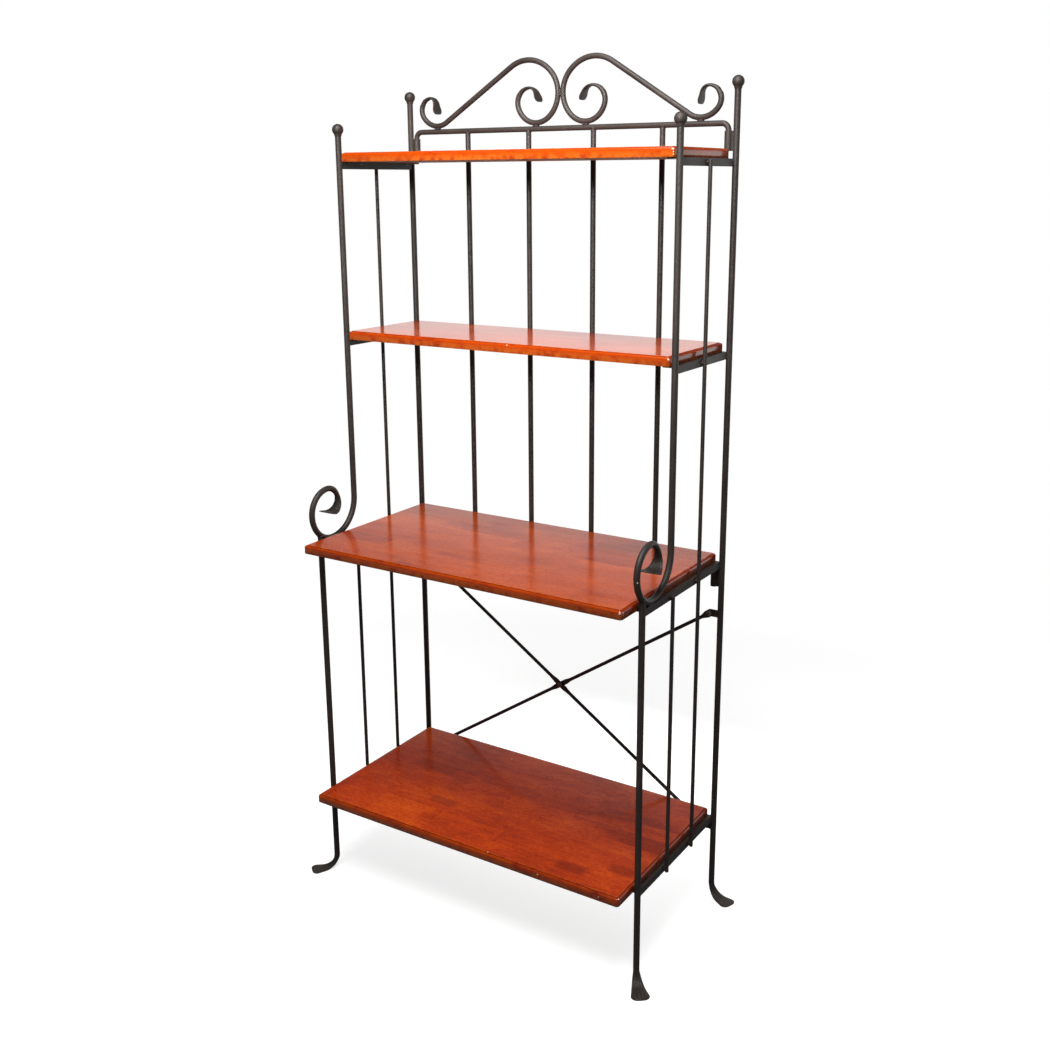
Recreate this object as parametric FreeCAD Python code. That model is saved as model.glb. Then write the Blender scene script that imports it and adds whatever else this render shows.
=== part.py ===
import FreeCAD, Part
import math
import os
from FreeCAD import Vector

# Bakers rack, millimetres, +Z up, X across the front, +Y towards the wall behind it.
# Two welded side frames of round bar carry four wooden boards on angle-iron rails.
# A cross brace and a lift-out back panel tie the two side frames together.

# ---------------------------------------------------------------- driving sizes
# Side frames
FRAME_WIDTH = 800.0            # between the axes of the left and right posts
POST_D = 13.0                  # painted round bar of posts, legs and scrolls
FRONT_POST_SETBACK = 246.5     # front upper post axis, forward of the rear post axis
LEG_SETBACK = 362.0            # front lower leg axis, forward of the rear post axis
REAR_BALL_Z = 1758.0           # centre of the rear finial balls
FRONT_BALL_DROP = 77.5         # centre of the front finial balls, below the rear ones
BALL_D = 24.0
BALL_SEAT = 7.0                # the post ends this far below the ball's centre
COLLAR_TOP_D = 17.0            # weld collar below the ball
COLLAR_FOOT_D = 14.4
COLLAR_H = 5.0

# Boards
BOTTOM_BOARD_TOP = 220.0
WORK_BOARD_TOP = 814.0
MIDDLE_BOARD_TOP = 1258.0
TOP_BOARD_DROP = 124.0         # top of the top board, below the rear finial balls
BOARD_T = 19.0
BOARD_END_GAP = 2.5            # between the board's ends and the posts
BOARD_BACK_GAP = 9.5           # board back edge, forward of the rear post axis
LOWER_BOARD_DEPTH = 416.5
UPPER_BOARD_DEPTH = 243.0
BOARD_CORNER_R = 6.0
SHOULDER_INSET = 5.5           # routed edge: a small shoulder above a round-over
SHOULDER_CORNER_R = 2.5
SHOULDER_H = 1.2
ROUND_OVER_R = 4.5

# Angle-iron rails
RAIL_H = 15.0
RAIL_FLANGE = 26.0             # width of the flange under the board
RAIL_T = 3.0
RAIL_FACE_INSET = 1.0          # rail face, inboard of the post axis
RAIL_END_GAP = 2.0             # the rail ends this far short of the post axes
FLANGE_PANEL_GAP = 2.0         # the flange ends this far short of the back panel

# Spindles on the outer faces of the rails
SPINDLE_D = 8.0
LONG_SPINDLE_SETBACK = 122.5
SHORT_SPINDLE_SETBACK = 238.5
LONG_SPINDLE_TOP_DROP = 2.5    # below the top edge of the top rail
SHORT_SPINDLE_TOP_DROP = 6.5   # below the top edge of the work rail
SPINDLE_TAIL = 2.0             # below the lower edge of the bottom rail
SPINDLE_TIP_R = 2.0
SPINDLE_BEAD_D = 7.0           # weld beads on both sides, where a spindle crosses a rail

# Front scroll: down, forwards, up, back and curled in
SCROLL_SEAT = 4.0              # weld between the work rail and the scroll
SCROLL_WELD_L = 20.0
SCROLL_WELD_T = 6.0
SWEEP_R = 78.5
LOOP_FRONT_R = 60.5
LOOP_TOP_R = 52.0
LOOP_BACK_R = 32.5
CURL_R = 22.3
CURL_EXTRA_TURN = 5.0
CURL_TAIL = 15.0
CURL_TIP_W = 50.0
CURL_TIP_T = 2.8
CURL_CORNER_R = 6.0
CURL_SPREAD = 2.0              # how late the fan widens, where 1 is a straight taper
CURL_FORGE_FROM = 40.0         # degrees round the back of the loop where the forging starts

# Feet: the bar bends outwards and is forged into a fan, fluted on top
FOOT_BEND_R = 32.0
FOOT_TAIL = 29.0
FRONT_FOOT_ANGLE = -52.0       # from straight sideways, negative is forwards
REAR_FOOT_ANGLE = -20.0        # keeps the fan in front of the wall behind the rack
FOOT_TIP_W = 38.5
FOOT_TIP_T = 4.0
FOOT_CORNER_R = 12.0
FOOT_SPREAD = 1.0
FOOT_WEAR = 0.5                # ground off flat where the fan stands on the floor
FOOT_FORGE_FROM = 15.0         # degrees round the bend where the forging starts

# Every forged end
FORGE_SKIN = 0.1               # a forging meets a bar or a flat this far inside its surface
FAN_THINNING = 2.0             # how early the bar thins
FAN_SQUARENESS = 2.8           # of the fan's outline, where 2 is an ellipse
FLUTES = 5
FLUTE_SHARE = 0.65             # of half the fan's thickness

# Back panel: hoop, lower bar, four bars and two crest scrolls
PANEL_ROD_D = 11.5
PANEL_BEND_R = 14.0
PANEL_LEG_DEPTH = 30.0         # how far each leg stands in its sleeve
PANEL_REST_GAP = 0.3           # between the start of the bend and the sleeve's rim
BAR_SPACING = 160.0
BAR_COUNT = 4
SLEEVE_D = 15.6
SLEEVE_H = 38.0
SLEEVE_AXIS_INSET = 17.0       # sleeve axis, inboard of the post axis
SLEEVE_CLEARANCE = 0.1         # radial, round the panel's legs
SLEEVE_WEB_T = 4.0
UPPER_SLEEVE_DROP = 90.5       # rim of the upper sleeves, below the rear finial balls
LOWER_SLEEVE_DROP = 39.5       # rim of the lower sleeves, below the top of the work board

# Crest scrolls, outwards from the point where the two are welded together; turns in degrees
CREST_SIDE_R = 62.0
CREST_SIDE_TURN = 40.0
CREST_TOP_R = 79.5
CREST_POST_GAP = 22.2          # between the outer curls and the rear posts
CREST_DIP_R = 47.0
CREST_DIP_RISE = 51.9
CREST_CURL_R = 26.0
CREST_HOOK_R = 14.0
CREST_HOOK_TURN = 80.0
CREST_HOOK_TAIL = 24.0
CREST_UNDER_R = 51.0
CREST_UNDER_TURN = 40.0
CREST_INNER_R = 47.0
CREST_INNER_TURN = 71.6
CREST_EYE_R = 30.0
CREST_EYE_HOOK_R = 20.0
CREST_EYE_HOOK_TURN = 68.0
CREST_EYE_TAIL = 18.0
CREST_FORGE_LEAD = 30.0        # the forging of a tip starts this far ahead of its hook
CREST_TIP_W = 31.0
CREST_TIP_T = 3.6
CREST_CORNER_R = 9.0
CREST_SPREAD = 1.9
CREST_WELD_GAP = 0.8           # between the bars that a weld joins
CREST_WELD_L = 15.0
CREST_WELD_W = 9.0

# Cross brace behind the lower bay
BRACE_D = 8.0
BRACE_BOLT_INSET = 25.0        # end bolts, inboard of the post axes
BRACE_TOP_Z = 673.0
BRACE_BOTTOM_Z = 170.5
BRACE_EYE_D = 16.0
BRACE_FLAT_T = 3.0
BRACE_FLAT_W = 12.0            # where the two bars cross
BRACE_FLAT_L = 34.0
BRACE_TAPER = 14.0
LUG_D = 16.0
LUG_T = 3.0
BOLT_D = 6.0
BOLT_CLEARANCE = 0.2           # radial, bolt in eye and lug
BOLT_HEAD_D = 12.5
BOLT_HEAD_H = 3.6
BOLT_HEAD_R = 2.0
SOCKET_WIDTH = 4.0             # hexagon across flats
SOCKET_DEPTH = 2.0
BOLT_TAIL = 1.5                # bolt end past its nut
NUT_WIDTH = 10.0               # hexagon across flats
NUT_T = 5.0
THREAD_CLEARANCE = 0.05        # radial, nut on bolt

# Board screws, up through the rail flanges
SCREW_D = 4.0
SCREW_BITE = 13.0
SCREW_CLEARANCE = 0.1          # radial, and beyond the tip
SCREW_HEAD_D = 8.0
SCREW_HEAD_H = 2.4
SCREW_HEAD_R = 1.4
RECESS_SPAN = 4.2              # cross recess
RECESS_W = 1.0
RECESS_DEPTH = 1.4
SCREW_FLANGE_INSET = 8.0       # from the flange's inner edge
SCREW_END_INSET = 45.0         # from the ends of the rail

# How finely the forged shapes are drawn
OUTLINE_POINTS = 64            # round each cross-section
FAN_STATIONS = 9               # along each fan
FAN_CORNER_TURNS = (25.0, 45.0, 60.0, 72.0, 82.0)   # degrees round the fan's corners
SLOPE_SEARCH = (10.0, 80.0)    # degrees, between which the crest's slope is found
SLOPE_HALVINGS = 40
TAPER_STATIONS = 4             # along each taper of the brace
TAPER_SQUARENESS = 6.0         # of the taper's flat end, where 2 is an ellipse
NEAR = 0.01                    # two places closer than this are the same

# ---------------------------------------------------------------- derived places
BOARD_TOPS = {"bottom": BOTTOM_BOARD_TOP, "work": WORK_BOARD_TOP,
              "middle": MIDDLE_BOARD_TOP, "top": REAR_BALL_Z - TOP_BOARD_DROP}
FRONT_BALL_Z = REAR_BALL_Z - FRONT_BALL_DROP
UPPER_SLEEVE_TOP = REAR_BALL_Z - UPPER_SLEEVE_DROP
LOWER_SLEEVE_TOP = WORK_BOARD_TOP - LOWER_SLEEVE_DROP
UP = Vector(0, 0, 1)
ACROSS = Vector(1, 0, 0)
BACK = Vector(0, 1, 0)
POST_R = POST_D / 2
SPINDLE_R = SPINDLE_D / 2
PANEL_R = PANEL_ROD_D / 2
HALF = FRAME_WIDTH / 2
BOARD_HALF_LENGTH = HALF - POST_R - BOARD_END_GAP
REAR_REACH = max(BALL_D, CREST_TIP_W) / 2     # of the rack, behind the rear post axes
REAR_Y = (BOARD_BACK_GAP + LOWER_BOARD_DEPTH - REAR_REACH) / 2
FRONT_POST_Y = REAR_Y - FRONT_POST_SETBACK
LEG_Y = REAR_Y - LEG_SETBACK
BOARD_BACK_Y = REAR_Y - BOARD_BACK_GAP
RAIL_FACE_X = HALF - RAIL_FACE_INSET
FLANGE_BACK_Y = REAR_Y - PANEL_R - FLANGE_PANEL_GAP
SPINDLE_X = RAIL_FACE_X + SPINDLE_R
SLEEVE_X = HALF - SLEEVE_AXIS_INSET
WORK_RAIL_TOP = BOARD_TOPS["work"] - BOARD_T
SCROLL_LOW_Z = WORK_RAIL_TOP + SCROLL_SEAT + POST_R
HOOP_Z = UPPER_SLEEVE_TOP + PANEL_REST_GAP + PANEL_BEND_R
LOWER_BAR_Z = LOWER_SLEEVE_TOP + PANEL_REST_GAP + PANEL_BEND_R
CREST_LOW_Z = HOOP_Z + PANEL_ROD_D + CREST_WELD_GAP
BRACE_HALF_SPAN = HALF - BRACE_BOLT_INSET
BRACE_MIDDLE_Z = (BRACE_TOP_Z + BRACE_BOTTOM_Z) / 2
BRACE_SLOPE = math.degrees(math.atan2(BRACE_TOP_Z - BRACE_BOTTOM_Z, 2 * BRACE_HALF_SPAN))
BRACE_REACH = math.hypot(BRACE_TOP_Z - BRACE_BOTTOM_Z, 2 * BRACE_HALF_SPAN) / 2
BRACE_STACK = BRACE_FLAT_T + LUG_T


# ---------------------------------------------------------------- paths in a plane
class PlanePath:
    """Lines and tangent arcs in the plane of u and v; a turn is counted from u towards v."""

    def __init__(self, origin, u, v, start, heading):
        self.origin, self.u, self.v = origin, u, v
        self.normal = u.cross(v)
        self.start, self.heading = start, heading
        self.steps = []

    def line(self, length):
        self.steps.append((length, 0.0))
        return self

    def arc(self, radius, turn):
        self.steps.append((radius * math.radians(abs(turn)), turn))
        return self

    def length(self):
        return sum(length for length, turn in self.steps)

    def state(self, distance):
        """Plane coordinates and heading, in degrees, at a distance along the path."""
        a, b = self.start
        heading = self.heading
        for length, turn in self.steps:
            part = min(distance, length)
            share = part / length
            middle = math.radians(heading + turn * share / 2)
            half_bend = math.radians(abs(turn) * share / 2)
            chord = part * math.sin(half_bend) / half_bend if half_bend > 0 else part
            a += chord * math.cos(middle)
            b += chord * math.sin(middle)
            heading += turn * share
            distance -= part
        return a, b, heading

    def point(self, distance):
        a, b, heading = self.state(distance)
        return self.origin + self.u * a + self.v * b

    def tangent(self, distance):
        heading = math.radians(self.state(distance)[2])
        return self.u * math.cos(heading) + self.v * math.sin(heading)

    def wire(self, last):
        """The path's centre line, from its start to a distance along it."""
        edges = []
        first = 0.0
        for length, turn in self.steps:
            stop = min(first + length, last)
            if stop > first:
                ends = (self.point(first), self.point(stop))
                if turn == 0.0:
                    edges.append(Part.LineSegment(*ends).toShape())
                else:
                    middle = self.point((first + stop) / 2)
                    edges.append(Part.Arc(ends[0], middle, ends[1]).toShape())
            first += length
        return Part.Wire(edges)


def bent_bar(path, last, diameter):
    """Round bar along a path, from its start to a distance along it."""
    ring = Part.Wire([Part.makeCircle(diameter / 2, path.point(0.0), path.tangent(0.0))])
    return path.wire(last).makePipeShell([ring], True, False)


def blade_outline(path, distance, width, thickness, squareness, flutes):
    """Closed outline of one cross-section: width across the plane, thickness in it."""
    across = path.normal
    through = path.tangent(distance).cross(across)
    inner_flute, outer_flute = flutes
    points = []
    for i in range(OUTLINE_POINTS):
        angle = 2 * math.pi * i / OUTLINE_POINTS
        c, s = math.cos(angle), math.sin(angle)
        x = math.copysign(abs(c) ** (2 / squareness), c) / 2
        y = math.copysign(abs(s) ** (2 / squareness), s) / 2
        flute = outer_flute if y > 0 else inner_flute
        y *= 1 - flute * (1 + math.cos(2 * math.pi * FLUTES * x)) / 2
        points.append(path.point(distance) + across * (x * width) + through * (y * thickness))
    curve = Part.BSplineCurve()
    curve.interpolate(points, True)
    return Part.Wire([curve.toShape()])


def forged_end(path, first, bar_d, tip, flutes):
    """End of a bar, flattened and spread into a fan from a distance along its path.

    tip holds the fan's width, thickness, corner radius and spread, and flutes the depth
    of the grooves on the inside and on the outside of the bend.
    """
    tip_w, tip_t, corner_r, spread = tip
    start_d = bar_d - 2 * FORGE_SKIN
    corners_at = path.length() - corner_r
    sections = []
    for i in range(FAN_STATIONS):
        share = i / (FAN_STATIONS - 1)
        width = start_d + (tip_w - start_d) * share ** spread
        thickness = tip_t + (start_d - tip_t) * (1 - share) ** FAN_THINNING
        distance = first + (corners_at - first) * share
        squareness = 2 + (FAN_SQUARENESS - 2) * share
        grooves = [flute * share for flute in flutes]
        sections.append(blade_outline(path, distance, width, thickness, squareness, grooves))
    for degrees in FAN_CORNER_TURNS:
        turn = math.radians(degrees)
        width = tip_w - 2 * corner_r * (1 - math.cos(turn))
        thickness = tip_t * (1 + math.cos(turn)) / 2
        distance = corners_at + corner_r * math.sin(turn)
        sections.append(blade_outline(path, distance, width, thickness, FAN_SQUARENESS, flutes))
    return Part.makeLoft(sections, True, False)


# ---------------------------------------------------------------- small helpers
def cylinder(diameter, height, base, direction=UP):
    return Part.makeCylinder(diameter / 2, height, base, direction)


def hexagon(width, height, base, direction):
    """Hexagonal prism by its size across flats, along +Y or -Y."""
    corner_r = width / math.sqrt(3)
    points = [base + Vector(corner_r * math.cos(math.radians(60 * i)), 0,
                            corner_r * math.sin(math.radians(60 * i))) for i in range(7)]
    return Part.Face(Part.makePolygon(points)).extrude(direction * height)


def mirrored(shape):
    """The same shape on the other side of the rack."""
    return shape.mirror(Vector(0, 0, 0), ACROSS)


def largest(shape):
    """The main solid, without the crumbs that a cut leaves behind."""
    return max(shape.Solids, key=lambda solid: solid.Volume)


def closed_rims(shape, z):
    """Round edges of a shape that lie at a height."""
    return [edge for edge in shape.Edges if edge.Closed and abs(edge.BoundBox.Center.z - z) < NEAR
            and edge.BoundBox.ZLength < NEAR]


# ---------------------------------------------------------------- side frame bars
def footed_bar(y, angle, top_z):
    """Down from top_z, round the bend and out along the floor, ending in a fan."""
    turn = math.radians(angle)
    outward = Vector(math.cos(turn), math.sin(turn), 0)
    axis_z = FOOT_TIP_T / 2 - FOOT_WEAR
    path = PlanePath(Vector(HALF, y, 0), outward, UP, (0.0, top_z), -90.0)
    path.line(top_z - axis_z - FOOT_BEND_R)
    forge_start = path.length() + FOOT_BEND_R * math.radians(FOOT_FORGE_FROM)
    path.arc(FOOT_BEND_R, 90.0).line(FOOT_TAIL)
    bar = bent_bar(path, forge_start, POST_D)
    tip = (FOOT_TIP_W, FOOT_TIP_T, FOOT_CORNER_R, FOOT_SPREAD)
    fan = forged_end(path, forge_start, POST_D, tip, (FLUTE_SHARE, 0.0))
    side = 2 * (FOOT_BEND_R + FOOT_TAIL + FOOT_TIP_W)
    floor = Part.makeBox(side, side, side, Vector(HALF - side / 2, y - side / 2, -side))
    return largest(bar.fuse(fan).cut(floor))


def rear_post():
    return footed_bar(REAR_Y, REAR_FOOT_ANGLE, REAR_BALL_Z - BALL_SEAT)


def front_scroll_post():
    """Front upper post, which runs on into the scroll that stands on the work rail."""
    top_z = FRONT_BALL_Z - BALL_SEAT
    path = PlanePath(Vector(HALF, FRONT_POST_Y, 0), -BACK, UP, (0.0, top_z), -90.0)
    path.line(top_z - SCROLL_LOW_Z - SWEEP_R)
    path.arc(SWEEP_R, 90.0).arc(LOOP_FRONT_R, 90.0).arc(LOOP_TOP_R, 90.0)
    forge_start = path.length() + LOOP_BACK_R * math.radians(CURL_FORGE_FROM)
    path.arc(LOOP_BACK_R, 90.0).arc(CURL_R, 90.0 + CURL_EXTRA_TURN).line(CURL_TAIL)
    bar = bent_bar(path, forge_start, POST_D)
    tip = (CURL_TIP_W, CURL_TIP_T, CURL_CORNER_R, CURL_SPREAD)
    fan = forged_end(path, forge_start, POST_D, tip, (FLUTE_SHARE, FLUTE_SHARE))
    return largest(bar.fuse(fan))


def front_leg(scroll):
    """Lower leg, coped to the underside of the scroll."""
    off_centre = LEG_SETBACK - FRONT_POST_SETBACK - SWEEP_R
    top_z = SCROLL_LOW_Z + LOOP_FRONT_R - math.sqrt(LOOP_FRONT_R ** 2 - off_centre ** 2)
    bar = footed_bar(LEG_Y, FRONT_FOOT_ANGLE, top_z)
    return largest(bar.cut(scroll))


def finial(y, centre_z):
    """Ball with a weld collar, seated on the end of its post."""
    ball = Part.makeSphere(BALL_D / 2, Vector(HALF, y, centre_z))
    collar_top = centre_z - math.sqrt((BALL_D ** 2 - COLLAR_TOP_D ** 2) / 4)
    base = Vector(HALF, y, collar_top - COLLAR_H)
    collar = Part.makeCone(COLLAR_FOOT_D / 2, COLLAR_TOP_D / 2, COLLAR_H, base)
    seat = cylinder(POST_D, centre_z - BALL_SEAT - base.z, base)
    return largest(ball.fuse(collar).cut(seat))


# ---------------------------------------------------------------- rails and spindles
def rail_ends(level):
    setback = LEG_SETBACK if level in ("bottom", "work") else FRONT_POST_SETBACK
    return REAR_Y - setback + RAIL_END_GAP, REAR_Y - RAIL_END_GAP


def screw_places(level):
    """Points under the right-hand rail's flange where the board is screwed on."""
    front, back = rail_ends(level)
    x = RAIL_FACE_X - RAIL_FLANGE + SCREW_FLANGE_INSET
    z = BOARD_TOPS[level] - BOARD_T - RAIL_T
    return [Vector(x, front + SCREW_END_INSET, z), Vector(x, back - SCREW_END_INSET, z)]


def screw_hole(place):
    depth = RAIL_T + SCREW_BITE + SCREW_CLEARANCE
    return cylinder(SCREW_D + 2 * SCREW_CLEARANCE, depth, place)


def rail(level, bars):
    """Angle iron, coped to the bars at its ends and drilled for the board screws."""
    front, back = rail_ends(level)
    top = BOARD_TOPS[level] - BOARD_T
    face = Part.makeBox(RAIL_T, back - front, RAIL_H, Vector(RAIL_FACE_X - RAIL_T, front, top - RAIL_H))
    corner = Vector(RAIL_FACE_X - RAIL_FLANGE, front, top - RAIL_T)
    flange = Part.makeBox(RAIL_FLANGE, FLANGE_BACK_Y - front, RAIL_T, corner)
    angle = face.fuse(flange).removeSplitter()
    for tool in bars + [screw_hole(place) for place in screw_places(level)]:
        angle = angle.cut(tool)
    return largest(angle)


def spindle(setback, top_z, rails):
    """Spindle with the weld beads that hold it to the outer face of each rail it crosses."""
    bottom = BOARD_TOPS["bottom"] - BOARD_T - RAIL_H - SPINDLE_TAIL
    y = REAR_Y - setback
    bar = cylinder(SPINDLE_D, top_z - bottom, Vector(SPINDLE_X, y, bottom))
    bar = bar.makeFillet(SPINDLE_TIP_R, closed_rims(bar, bottom) + closed_rims(bar, top_z))
    for level, crossed in rails.items():
        z = BOARD_TOPS[level] - BOARD_T - RAIL_H / 2
        if z < top_z:
            for side in (-SPINDLE_R, SPINDLE_R):
                bead = Part.makeSphere(SPINDLE_BEAD_D / 2, Vector(RAIL_FACE_X, y + side, z))
                bar = bar.fuse(bead.cut(crossed))
    return largest(bar)


def scroll_weld(scroll):
    """Weld that fills the gap between the work rail and the lowest point of the scroll."""
    middle = Vector(RAIL_FACE_X - SCROLL_WELD_T / 2, FRONT_POST_Y - SWEEP_R, WORK_RAIL_TOP)
    corner = middle - Vector(SCROLL_WELD_T / 2, SCROLL_WELD_L / 2, 0)
    pad = Part.makeBox(SCROLL_WELD_T, SCROLL_WELD_L, SCROLL_SEAT + POST_R, corner)
    return largest(pad.cut(scroll))


# ---------------------------------------------------------------- boards and screws
def board_outline(depth, inset, corner_r, z):
    """Rectangle with rounded corners, inset from the board's own outline."""
    x = BOARD_HALF_LENGTH - inset - corner_r
    back = BOARD_BACK_Y - inset - corner_r
    front = BOARD_BACK_Y - depth + inset + corner_r
    edges = []
    corners = []
    for i, (cx, cy) in enumerate([(x, back), (-x, back), (-x, front), (x, front)]):
        middle = Vector(cx, cy, z)
        arms = []
        for angle in (90 * i, 90 * i + 45, 90 * i + 90):
            turn = math.radians(angle)
            arms.append(middle + Vector(math.cos(turn), math.sin(turn), 0) * corner_r)
        edges.append(Part.Arc(*arms).toShape())
        corners.append(arms)
    for i in range(4):
        edges.append(Part.LineSegment(corners[i][2], corners[(i + 1) % 4][0]).toShape())
    return Part.Face(Part.Wire(Part.__sortEdges__(edges)))


def board(level, depth):
    """Edge-glued board with a shouldered round-over all round its top edge."""
    base_z = BOARD_TOPS[level] - BOARD_T
    slab_h = BOARD_T - SHOULDER_H
    slab = board_outline(depth, 0.0, BOARD_CORNER_R, base_z).extrude(UP * slab_h)
    rim = [edge for edge in slab.Edges if edge.BoundBox.ZMin > base_z + slab_h - NEAR]
    slab = slab.makeFillet(ROUND_OVER_R, rim)
    top = board_outline(depth, SHOULDER_INSET, SHOULDER_CORNER_R, base_z).extrude(UP * BOARD_T)
    solid = slab.fuse(top).removeSplitter()
    for place in screw_places(level):
        hole = screw_hole(place)
        solid = solid.cut(hole).cut(mirrored(hole))
    return largest(solid)


def board_screws(level):
    """The four screws of one board, heads against the undersides of its rails."""
    screws = []
    for place in screw_places(level):
        head_z = place.z - SCREW_HEAD_H
        head = cylinder(SCREW_HEAD_D, SCREW_HEAD_H, Vector(place.x, place.y, head_z))
        head = head.makeFillet(SCREW_HEAD_R, closed_rims(head, head_z))
        for size_x, size_y in ((RECESS_SPAN, RECESS_W), (RECESS_W, RECESS_SPAN)):
            corner = Vector(place.x - size_x / 2, place.y - size_y / 2, head_z)
            head = head.cut(Part.makeBox(size_x, size_y, RECESS_DEPTH, corner))
        screw = largest(head.fuse(cylinder(SCREW_D, RAIL_T + SCREW_BITE, place)))
        screws += [screw, mirrored(screw)]
    return Part.makeCompound(screws)


# ---------------------------------------------------------------- back panel
def sleeve(top_z):
    """Short tube with a web to the rear post, which a leg of the back panel drops into."""
    base = Vector(SLEEVE_X, REAR_Y, top_z - SLEEVE_H)
    tube = cylinder(SLEEVE_D, SLEEVE_H, base)
    corner = base - BACK * (SLEEVE_WEB_T / 2)
    web = Part.makeBox(SLEEVE_AXIS_INSET, SLEEVE_WEB_T, SLEEVE_H, corner)
    bore = cylinder(PANEL_ROD_D + 2 * SLEEVE_CLEARANCE, SLEEVE_H, base)
    post = cylinder(POST_D, SLEEVE_H, base + ACROSS * SLEEVE_AXIS_INSET)
    return largest(tube.fuse(web).cut(bore).cut(post))


def panel_cross_bar(bar_z):
    """Bar across the panel whose ends bend down into a pair of sleeves."""
    leg = PANEL_REST_GAP + PANEL_LEG_DEPTH
    start = (-SLEEVE_X, bar_z - PANEL_BEND_R - leg)
    path = PlanePath(Vector(0, REAR_Y, 0), ACROSS, UP, start, 90.0)
    path.line(leg).arc(PANEL_BEND_R, -90.0).line(2 * (SLEEVE_X - PANEL_BEND_R))
    path.arc(PANEL_BEND_R, -90.0).line(leg)
    return bent_bar(path, path.length(), PANEL_ROD_D)


def panel_bar(x, hoop, lower_bar):
    bar = cylinder(PANEL_ROD_D, HOOP_Z - LOWER_BAR_Z, Vector(x, REAR_Y, LOWER_BAR_Z))
    return largest(bar.cut(hoop).cut(lower_bar))


def crest_start():
    """Where the crest scroll passes the middle of the rack, heading straight up."""
    down = PlanePath(Vector(), ACROSS, UP, (0.0, 0.0), -90.0)
    down.arc(CREST_SIDE_R, 90.0 - CREST_UNDER_TURN).arc(CREST_UNDER_R, CREST_UNDER_TURN)
    drop = -down.state(down.length())[1]
    return PANEL_R + CREST_WELD_GAP / 2, CREST_LOW_Z + drop


def crest_outer_path(slope):
    """Over the top, down a slope in degrees, through the dip and round the outer curl.

    Returns the path, the distance to its lowest point and the distance to its hook.
    """
    path = PlanePath(Vector(0, REAR_Y, 0), ACROSS, UP, crest_start(), 90.0)
    path.arc(CREST_SIDE_R, -CREST_SIDE_TURN).arc(CREST_TOP_R, CREST_SIDE_TURN - 90.0 - slope)
    x, z, heading = path.state(path.length())
    fall = math.radians(slope)
    dip_z = CREST_LOW_Z + CREST_DIP_R * (1 - math.cos(fall))
    path.line((z - dip_z) / math.sin(fall)).arc(CREST_DIP_R, slope)
    low = path.length()
    path.arc(CREST_DIP_R, CREST_DIP_RISE).arc(CREST_CURL_R, 180.0 - CREST_DIP_RISE)
    hook = path.length()
    path.arc(CREST_HOOK_R, CREST_HOOK_TURN).line(CREST_HOOK_TAIL)
    return path, low, hook


def crest_slope():
    """The slope, in degrees, that brings the outer curls up to their gap from the posts."""
    goal = HALF - POST_R - CREST_POST_GAP - PANEL_R
    rise = math.sin(math.radians(CREST_DIP_RISE))
    shallow, steep = SLOPE_SEARCH
    for halving in range(SLOPE_HALVINGS):
        slope = (shallow + steep) / 2
        path, low, hook = crest_outer_path(slope)
        reach = path.state(low)[0] + CREST_DIP_R * rise + CREST_CURL_R * (1 - rise)
        if reach > goal:
            shallow = slope
        else:
            steep = slope
    return slope


def crest_paths():
    return crest_outer_path(crest_slope()), crest_inner_path()


def crest_inner_path():
    """Down from the middle, along the hoop and round the inner curl, as crest_outer_path."""
    path = PlanePath(Vector(0, REAR_Y, 0), ACROSS, UP, crest_start(), -90.0)
    path.arc(CREST_SIDE_R, 90.0 - CREST_UNDER_TURN).arc(CREST_UNDER_R, CREST_UNDER_TURN)
    low = path.length()
    path.arc(CREST_INNER_R, CREST_INNER_TURN).arc(CREST_EYE_R, 180.0 - CREST_INNER_TURN)
    hook = path.length()
    path.arc(CREST_EYE_HOOK_R, CREST_EYE_HOOK_TURN).line(CREST_EYE_TAIL)
    return path, low, hook


def crest_scroll():
    """Right-hand scroll of the crest: one bar with a curl and a flattened tip at each end."""
    arms = []
    tip = (CREST_TIP_W, CREST_TIP_T, CREST_CORNER_R, CREST_SPREAD)
    for path, low, hook in crest_paths():
        forge_start = hook - CREST_FORGE_LEAD
        arms.append(bent_bar(path, forge_start, PANEL_ROD_D))
        arms.append(forged_end(path, forge_start, PANEL_ROD_D, tip, (0.0, 0.0)))
    return largest(arms[0].multiFuse(arms[1:]))


def crest_welds(scroll, hoop):
    """Welds between crest and hoop at each low point, and between the two scrolls."""
    bars = [hoop, scroll, mirrored(scroll)]
    half_pitch = UP * ((CREST_LOW_Z - HOOP_Z) / 2)
    along_hoop = Vector(CREST_WELD_L, CREST_WELD_W, CREST_WELD_W)
    upright = Vector(CREST_WELD_W, CREST_WELD_W, CREST_WELD_L)
    places = [(Vector(0, REAR_Y, crest_start()[1]), upright)]
    for path, low, hook in crest_paths():
        place = path.point(low) - half_pitch
        places.append((place, along_hoop))
        places.append((Vector(-place.x, place.y, place.z), along_hoop))
    welds = []
    for place, size in places:
        weld = Part.makeBox(size.x, size.y, size.z, place - size / 2)
        for bar in bars:
            weld = weld.cut(bar)
        welds.append(largest(weld))
    return Part.makeCompound(welds)


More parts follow.
